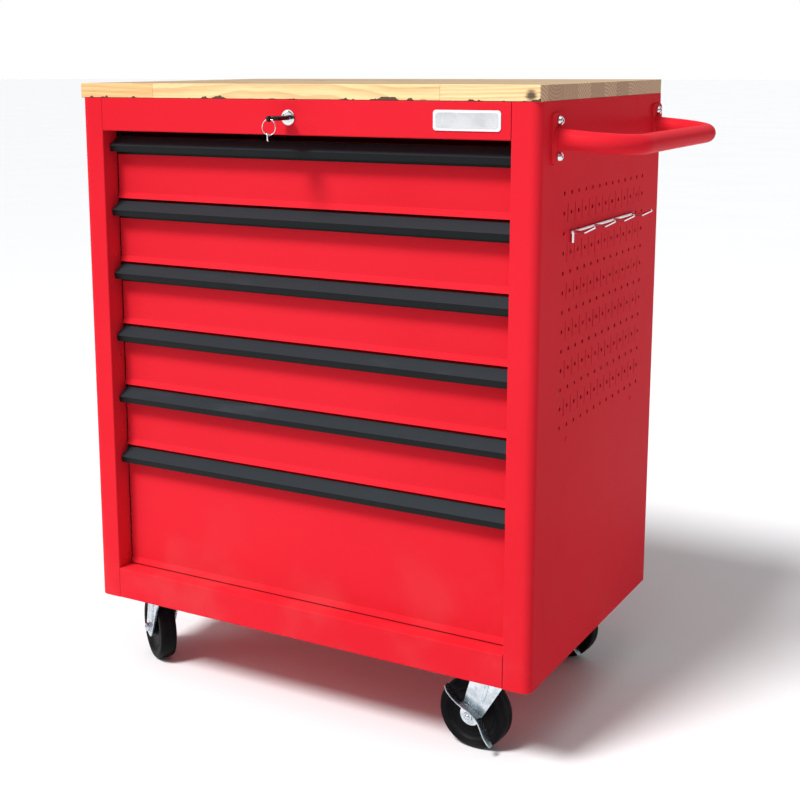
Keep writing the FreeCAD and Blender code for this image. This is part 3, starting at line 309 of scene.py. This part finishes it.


# plastic, rubber or enamel: fine grain, a painted light tone on upward faces, scuffs and dirt
def moulded(name, values):
    made = Finish(name)
    z = made.axes()[2]
    grain = made.noise(values["grainScale"], 2)
    scuff = made.noise(values["scuffScale"], 6, values["stretch"], 0.72).between(0.54, 0.74)
    low = 1 - z.between(0.0, 0.012)
    dirt = (scuff * values["scuff"]).only("MAXIMUM", low * values["dirt"])
    normal = made.add("ShaderNodeNewGeometry", {}, {}, "Normal")
    # painted light: faces that point upward are mixed towards a paler tone, as though lit from above
    up = made.axes(normal)[2].between(0.05, 0.45)
    colour = made.mix(grain.between(0.35, 0.65), values["colour"], values["other"])
    colour = made.mix(up * (0.75 + scuff * 0.25), colour, values["upwardPaintedLight"])
    colour = made.mix(dirt, colour, values["dust"])
    return made.set(Base_Color=colour, Roughness=values["rough"] + scuff * 0.18,
                    Specular_IOR_Level=values["shine"],
                    Normal=made.bump(grain, values["grain"], 0.0004))


# the strip's colour for upward faces is a painted bluish sheen of the light from above on its slanted top face
blackStrip = moulded("blackPullStrip", {
    "grainScale": 700, "scuffScale": 20, "stretch": (0.25, 1, 1), "colour": (0.0035, 0.0055, 0.0060),
    "other": (0.0022, 0.0036, 0.0042), "upwardPaintedLight": (0.024, 0.034, 0.040),
    "dust": (0.05, 0.056, 0.065), "scuff": 0.10, "dirt": 0, "rough": 0.40, "grain": 0.12,
    "shine": 0.16})
blackRubber = moulded("blackRubber", {
    "grainScale": 420, "scuffScale": 34, "stretch": (1, 1, 1), "colour": (0.0035, 0.0036, 0.0045),
    "other": (0.0022, 0.0022, 0.0030), "upwardPaintedLight": (0.009, 0.009, 0.010),
    "dust": (0.045, 0.043, 0.041), "scuff": 0.26, "dirt": 0.4,
    "rough": 0.50, "grain": 0.25, "shine": 0.07})
blackPlastic = moulded("blackKeyPlastic", {
    "grainScale": 900, "scuffScale": 60, "stretch": (1, 1, 1), "colour": (0.008, 0.008, 0.009),
    "other": (0.006, 0.006, 0.007), "upwardPaintedLight": (0.012, 0.012, 0.013),
    "dust": (0.06, 0.06, 0.06), "scuff": 0.15, "dirt": 0,
    "rough": 0.33, "grain": 0.15, "shine": 0.25})
plateEnamel = moulded("plainPlate", {
    "grainScale": 500, "scuffScale": 40, "stretch": (1, 1, 1), "colour": (0.74, 0.76, 0.80),
    "other": (0.70, 0.72, 0.77), "upwardPaintedLight": (0.70, 0.72, 0.76),
    "dust": (0.5, 0.5, 0.5), "scuff": 0.12, "dirt": 0,
    "rough": 0.28, "grain": 0.06, "shine": 0.5})

finishOf = {"red_paint": redPaint, "worktop_wood": worktopWood, "black_strip": blackStrip,
            "zinc_plate": zincPlate, "chrome": chrome, "black_plastic": blackPlastic,
            "black_rubber": blackRubber, "badge_enamel": plateEnamel}
for part in frame["record"]["subparts"]:
    node = nodes[part["node"]]
    node.data.materials.clear()
    node.data.materials.append(finishOf[part["material_slot"]])
print("materials made")


# a bmesh becomes a named piece that rides on a body
def finished(name, shape, body, slot, turned=False):
    if turned:
        bmesh.ops.remove_doubles(shape, verts=shape.verts, dist=1e-6)
        bmesh.ops.recalc_face_normals(shape, faces=shape.faces)
    mesh = bpy.data.meshes.new(name)
    shape.to_mesh(mesh)
    shape.free()
    piece = bpy.data.objects.new(name, mesh)
    bpy.context.scene.collection.objects.link(piece)
    mesh.materials.append(finishOf[slot])
    mesh.shade_smooth()
    mesh.set_sharp_from_angle(angle=math.radians(38))
    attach(piece, body)
    return piece


def facing(place, direction):
    turned = Vector(direction).to_track_quat("Z", "Y").to_matrix().to_4x4()
    return Matrix.Translation(place) @ turned


def softened(shape, edges, offset, segments=2):
    bmesh.ops.bevel(shape, geom=list(edges), offset=offset, affect="EDGES", segments=segments,
                    profile=0.5, material=-1)


def edgesOf(made):
    return {edge for vert in made["verts"] for edge in vert.link_edges}


def block(shape, place, sizes):
    return edgesOf(bmesh.ops.create_cube(shape, size=1, matrix=Matrix.Translation(place)
                                         @ Matrix.Diagonal((*sizes, 1))))


# a closed outline of (radius, height) points, turned about the matrix's Z axis
def spun(shape, outline, place, steps=48):
    before = set(shape.verts)
    points = [shape.verts.new((radius, 0, height)) for radius, height in outline]
    edges = [shape.edges.new(pair) for pair in zip(points, points[1:] + points[:1])]
    bmesh.ops.spin(shape, geom=points + edges, cent=(0, 0, 0), axis=(0, 0, 1), angle=math.tau,
                   steps=steps, use_merge=True)
    bmesh.ops.transform(shape, matrix=place, verts=[vert for vert in shape.verts
                                                    if vert not in before])


def dome(shape, place, direction, radius, height):
    matrix = facing(place, direction) @ Matrix.Diagonal((radius, radius, height, 1))
    bmesh.ops.create_uvsphere(shape, u_segments=16, v_segments=8, radius=1, matrix=matrix)


def bolt(shape, place, direction, wide, tall):
    matrix = facing(place, direction) @ Matrix.Translation((0, 0, tall / 2))
    made = bmesh.ops.create_cone(shape, cap_ends=True, segments=6, radius1=wide / 2,
                                 radius2=wide / 2, depth=tall, matrix=matrix)
    softened(shape, edgesOf(made), wide * 0.05)


# cabinetRivets: one column in each jamb and two dimples in each side
rivets = {"jambLowest": 0.182, "jambApart": 0.1535, "jambRows": 5, "jambIn": 0.0207,
          "jambHalf": 0.313, "jambSize": (0.0036, 0.0011), "sideHalf": 0.35,
          "sideSize": (0.0040, 0.0010), "sidePlaces": ((-0.119, 0.4325), (0.134, 0.4325))}
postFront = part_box("front_post_right")[0].y
shape = bmesh.new()
for side in (-1, 1):
    for row in range(rivets["jambRows"]):
        z = rivets["jambLowest"] + row * rivets["jambApart"]
        dome(shape, (side * rivets["jambHalf"], postFront + rivets["jambIn"], z), (-side, 0, 0),
             *rivets["jambSize"])
    for y, z in rivets["sidePlaces"]:
        dome(shape, (side * rivets["sideHalf"], y, z), (side, 0, 0), *rivets["sideSize"])
finished("cabinetRivets", shape, "cabinet", "red_paint")
print("rivets made")

# lockBezel: a rounded ring round the plug
bezel = {"outline": ((0.0061, 0.0), (0.0061, 0.0016), (0.0067, 0.0021), (0.0086, 0.0020),
                     (0.0096, 0.0012), (0.0100, 0.0))}
lockPlace = joints["lock_turn"]["pos_m"]
shape = bmesh.new()
spun(shape, bezel["outline"], facing(lockPlace, (0, -1, 0)))
finished("lockBezel", shape, "cabinet", "chrome", turned=True)

# keyBow: a level stadium with a recess and ribs on both faces, and an eye beyond its end
bow = {"proud": 0.0020, "neck": 0.005, "wide": 0.021, "long": 0.038, "thick": 0.005,
       "round": 0.46, "rim": 0.0011, "border": 0.0022, "wall": 0.0004, "recess": 0.0006,
       "ribs": 5, "ribApart": 0.0042, "rib": (0.0112, 0.0012, 0.0010), "ribRim": 0.0003,
       "eyeOut": 0.002, "eyeBore": 0.0020, "eyeRadius": 0.0040, "eyeHalf": 0.00175}
plugFace = lockPlace[1] - bow["proud"]
bowPlace = Vector((0, plugFace - bow["neck"] - bow["long"] / 2, lockPlace[2]))
shape = bmesh.new()
block(shape, bowPlace, (bow["wide"], bow["long"], bow["thick"]))
upright = [edge for edge in shape.edges
           if abs(edge.verts[0].co.z - edge.verts[1].co.z) > bow["thick"] / 2]
softened(shape, upright, bow["wide"] * bow["round"], 8)
flats = [face for face in shape.faces if abs(face.normal.z) > 0.9]
softened(shape, {edge for face in flats for edge in face.edges}, bow["rim"], 3)
flats = [face for face in shape.faces if abs(face.normal.z) > 0.99 and face.calc_area() > 1e-4]
bmesh.ops.inset_region(shape, faces=flats, thickness=bow["border"], depth=0)
bmesh.ops.inset_region(shape, faces=flats, thickness=bow["wall"], depth=-bow["recess"])
for level in (-1, 1):
    for rib in range(bow["ribs"]):
        y = (rib - (bow["ribs"] - 1) / 2) * bow["ribApart"]
        z = level * (bow["thick"] / 2 - bow["recess"])
        softened(shape, block(shape, bowPlace + Vector((0, y, z)), bow["rib"]), bow["ribRim"])
eyePlace = bowPlace - Vector((0, bow["long"] / 2 + bow["eyeOut"], 0))
bore, rim, half = bow["eyeBore"], bow["eyeRadius"], bow["eyeHalf"]
spun(shape, ((bore, half - 0.0004), (bore + 0.0003, half), (rim - 0.0005, half),
             (rim, half - 0.0005), (rim, 0.0005 - half), (rim - 0.0005, -half),
             (bore + 0.0003, -half), (bore, 0.0004 - half)), facing(eyePlace, (1, 0, 0)), 32)
keyBow = finished("keyBow", shape, "lock_plug", "black_plastic", turned=True)
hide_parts("key")

blade = {"wide": 0.0068, "thick": 0.0016, "deep": 0.018, "inBow": 0.002, "rim": 0.0003}
shape = bmesh.new()
bladeLong = bow["neck"] + blade["deep"] + blade["inBow"]
block(shape, (0, plugFace - bow["neck"] - blade["inBow"] + bladeLong / 2, lockPlace[2]),
      (blade["wide"], bladeLong, blade["thick"]))
softened(shape, shape.edges, blade["rim"])
finished("keyBlade", shape, "lock_plug", "chrome")

plate = {"sizes": (0.084, 0.0006, 0.019), "in": 0.0001, "round": 0.004}
plateLow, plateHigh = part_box("badge")
shape = bmesh.new()
block(shape, ((plateLow.x + plateHigh.x) / 2, plateLow.y + plate["in"],
              (plateLow.z + plateHigh.z) / 2), plate["sizes"])
upright = [edge for edge in shape.edges
           if abs(edge.verts[0].co.y - edge.verts[1].co.y) > plate["sizes"][1] / 2]
softened(shape, upright, plate["round"], 4)
finished("badgeField", shape, "cabinet", "chrome")
print("lock, key and plate made")


# one caster: where it swivels and rolls, and the way its axle points
class Caster:
    def __init__(self, corner):
        self.name = "caster_" + corner
        self.swivel = Vector(joints[self.name + "_turn"]["pos_m"])
        self.axle = Vector(joints[self.name + "_roll"]["pos_m"])
        self.along = Vector(joints[self.name + "_roll"]["axis"])
        self.trail = Vector((self.axle.x - self.swivel.x, self.axle.y - self.swivel.y, 0))
        self.braked = self.name + "_pedal" in nodes


# half of the wheel's outline, from the bore out to the middle of the tread
wheel = {"disc": ((0.0042, 0.0128), (0.0105, 0.0128), (0.0124, 0.0118), (0.0134, 0.0096),
                  (0.0300, 0.0088), (0.0314, 0.0096), (0.0326, 0.0088), (0.0350, 0.0094)),
         "tyre": ((0.0370, 0.0108), (0.0385, 0.0126), (0.0400, 0.0120), (0.0415, 0.0128),
                  (0.0455, 0.0130), (0.0484, 0.0122), (0.0497, 0.0098), (0.0500, 0.0060),
                  (0.0500, 0.0009), (0.0497, 0.0)), "steps": 72}


def makeWheel(caster):
    half = wheel["disc"] + wheel["tyre"]
    other = tuple((radius, -height) for radius, height in reversed(half[:-1]))
    shape = bmesh.new()
    spun(shape, half + other, facing(caster.axle, caster.along), wheel["steps"])
    piece = finished(caster.name + "_tyre", shape, caster.name + "_wheel", "black_rubber",
                     turned=True)
    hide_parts(caster.name + "_wheel")


head = {"wide": 0.0145, "tall": 0.0045, "x": 0.030, "y": 0.020, "up": 0.0070,
        "race": ((0.0255, 0.0005), (0.0282, 0.0008), (0.0290, 0.0030), (0.0278, 0.0062),
                 (0.0262, 0.0066))}


def makeHead(caster):
    shape = bmesh.new()
    for x in (-head["x"], head["x"]):
        for y in (-head["y"], head["y"]):
            bolt(shape, caster.swivel + Vector((x, y, head["up"])), (0, 0, -1), head["wide"],
                 head["tall"])
    finished(caster.name + "_plateBolts", shape, "cabinet", "zinc_plate")
    shape = bmesh.new()
    spun(shape, head["race"], Matrix.Translation(caster.swivel))
    finished(caster.name + "_raceRing", shape, "cabinet", "zinc_plate", turned=True)


# a pressed ridge down the outside of both legs, shorter beside a pedal
ridge = {"top": 0.1150, "low": 0.0640, "lowBraked": 0.0745, "out": 0.0172, "lean": 0.6,
         "half": 0.0024, "rim": 0.0011}


def makeRidges(caster):
    shape = bmesh.new()
    for side in (-1, 1):
        ends = []
        for z in (ridge["top"], ridge["lowBraked"] if caster.braked else ridge["low"]):
            share = (ridge["top"] - z) / (ridge["top"] - caster.axle.z) * ridge["lean"]
            ends.append(caster.swivel + caster.trail * share + caster.along * side * ridge["out"]
                        + Vector((0, 0, z - caster.swivel.z)))
        middle, run = (ends[0] + ends[1]) / 2, ends[0] - ends[1]
        down = run.normalized()
        basis = Matrix((down.cross(caster.along), caster.along, down)).transposed()
        made = bmesh.ops.create_cube(
            shape, size=2, matrix=Matrix.Translation(middle) @ basis.to_4x4() @ Matrix.Diagonal(
                (ridge["half"], ridge["half"], run.length / 2, 1)))
        softened(shape, edgesOf(made), ridge["rim"], 3)
    finished(caster.name + "_ridges", shape, caster.name + "_swivel", "zinc_plate", turned=True)


# axle bolt: a shank between a head and a nut, each on a washer; the nut's end has more thread
axleBolt = {"shank": 0.004, "sides": 24, "shorter": 0.004, "hexWide": 0.0142, "hexThick": 0.0055,
            "washerWide": 0.0088, "washerThick": 0.0008, "tail": 0.002, "crown": 0.0058,
            "crownTall": 0.0004}


def makeBolt(caster):
    reach = [(Vector(vert.co) - caster.axle).dot(caster.along)
             for vert in nodes[caster.name + "_axle"].data.vertices]
    ends = {1: max(reach), -1: -min(reach)}
    middle = facing(caster.axle, caster.along) @ Matrix.Translation((0, 0, (ends[1] - ends[-1]) / 2))
    shape = bmesh.new()
    bmesh.ops.create_cone(shape, cap_ends=True, segments=axleBolt["sides"],
                          radius1=axleBolt["shank"], radius2=axleBolt["shank"],
                          depth=ends[1] + ends[-1] - axleBolt["shorter"], matrix=middle)
    thick, wide, lift = axleBolt["washerThick"], axleBolt["washerWide"], axleBolt["crownTall"]
    for side in (-1, 1):
        tail = axleBolt["tail"] if ends[side] > ends[-side] else 0.0
        base = ends[side] - tail - axleBolt["hexThick"]
        out = caster.along * side
        bolt(shape, caster.axle + out * base, out, axleBolt["hexWide"], axleBolt["hexThick"])
        dome(shape, caster.axle + out * (ends[side] - tail - lift), out,
             axleBolt["shank"] if tail else axleBolt["crown"], tail + lift)
        spun(shape, ((axleBolt["shank"], 0), (axleBolt["shank"], thick), (wide - lift, thick),
                     (wide, thick - 0.0003), (wide, 0)), facing(caster.axle + out * base, out), 32)
    piece = finished(caster.name + "_bolt", shape, caster.name + "_swivel", "zinc_plate",
                     turned=True)
    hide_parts(caster.name + "_axle")


# brake pedal: its line and its cheek, each point ahead of the axle and above it
pedal = {"line": ((-0.033, 0.040), (-0.031, 0.034), (-0.025, 0.027), (-0.013, 0.018), (0, 0.012),
                  (0.011, 0.007), (0.018, 0), (0.023, -0.012), (0.029, -0.025), (0.036, -0.034)),
         "cheek": ((-0.0100, 0.0160), (0, 0.0115), (0.009, 0.0072), (0.0150, 0.0020),
                   (0.012, -0.0060), (0.0040, -0.0098), (-0.0050, -0.0088), (-0.0095, -0.0030)),
         "inside": 0.0178, "wide": 0.0140, "metal": 0.0020, "narrow": 0.0028,
         "columns": (0, 0.12, 0.5, 0.88, 1), "levels": 2, "rim": 0.0005}


def makePedal(caster):
    low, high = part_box(caster.name + "_pedal")
    side = ((low + high) / 2 - caster.axle).dot(caster.along)
    out = caster.along if side > 0 else -caster.along
    forward = -caster.trail.normalized()
    inside = caster.axle + out * pedal["inside"]
    last, columns = len(pedal["line"]) - 1, len(pedal["columns"]) - 1
    shape = bmesh.new()
    bmesh.ops.create_grid(shape, x_segments=last, y_segments=columns, size=1)
    for vert in shape.verts:
        # the strip follows the pedal's line and narrows at its two ends
        index = round((vert.co.x + 1) / 2 * last)
        share = pedal["columns"][round((vert.co.y + 1) / 2 * columns)]
        x, z = pedal["line"][index]
        narrow = pedal["narrow"] if index in (0, last) else 0
        across = pedal["wide"] * share + narrow * (1 - 2 * share)
        vert.co = inside + forward * x + Vector((0, 0, z)) + out * across
    bmesh.ops.recalc_face_normals(shape, faces=shape.faces)
    piece = finished(caster.name + "_lever", shape, caster.name + "_pedal", "zinc_plate")
    thick = piece.modifiers.new("thickness", "SOLIDIFY")
    thick.thickness, thick.offset = pedal["metal"], 0
    rounding = piece.modifiers.new("rounding", "SUBSURF")
    rounding.levels = rounding.render_levels = pedal["levels"]
    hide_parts(caster.name + "_pedal")

    shape = bmesh.new()
    outline = [shape.verts.new(inside + forward * x + Vector((0, 0, z)))
               for x, z in pedal["cheek"]]
    made = bmesh.ops.extrude_face_region(shape, geom=[shape.faces.new(outline)])
    lifted = [item for item in made["geom"] if isinstance(item, bmesh.types.BMVert)]
    bmesh.ops.translate(shape, verts=lifted, vec=out * pedal["metal"])
    bmesh.ops.recalc_face_normals(shape, faces=shape.faces)
    softened(shape, shape.edges, pedal["rim"])
    finished(caster.name + "_cheek", shape, caster.name + "_pedal", "zinc_plate")


for corner in corners:
    caster = Caster(corner)
    makeWheel(caster)
    makeHead(caster)
    makeRidges(caster)
    makeBolt(caster)
    if caster.braked:
        makePedal(caster)
print("casters made")

# handleWelds: a bead where the push handle's tube meets each end plate
weld = {"radius": 0.0132, "bead": 0.0016, "sides": 8, "steps": 40, "x": 0.3533, "z": 0.822,
        "in": 0.020, "lean": -0.087}
handleLow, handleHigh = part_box("push_handle")
outline = [(weld["radius"] + weld["bead"] * math.cos(angle), weld["bead"] * math.sin(angle))
           for angle in (math.tau * step / weld["sides"] for step in range(weld["sides"]))]
shape = bmesh.new()
for y in (handleLow.y + weld["in"], handleHigh.y - weld["in"]):
    spun(shape, outline, facing((weld["x"], y, weld["z"]), (1, 0, weld["lean"])), weld["steps"])
finished("handleWelds", shape, "cabinet", "red_paint", turned=True)
print("welds made")

ground = {"half": 60, "pale": (0.83, 0.83, 0.835), "other": (0.81, 0.81, 0.82), "rough": 0.6}
floorMade = Finish("studioFloor")
tint = floorMade.noise(1.3, 3).between(0.3, 0.7)
floorMade.set(Base_Color=floorMade.mix(tint, ground["pale"], ground["other"]),
              Roughness=ground["rough"] + tint * 0.1)
shape = bmesh.new()
bmesh.ops.create_grid(shape, x_segments=1, y_segments=1, size=ground["half"])
mesh = bpy.data.meshes.new("studioFloor")
shape.to_mesh(mesh)
shape.free()
floor = bpy.data.objects.new("studioFloor", mesh)
mesh.materials.append(floorMade.material)
bpy.context.scene.collection.objects.link(floor)
print("floor made")
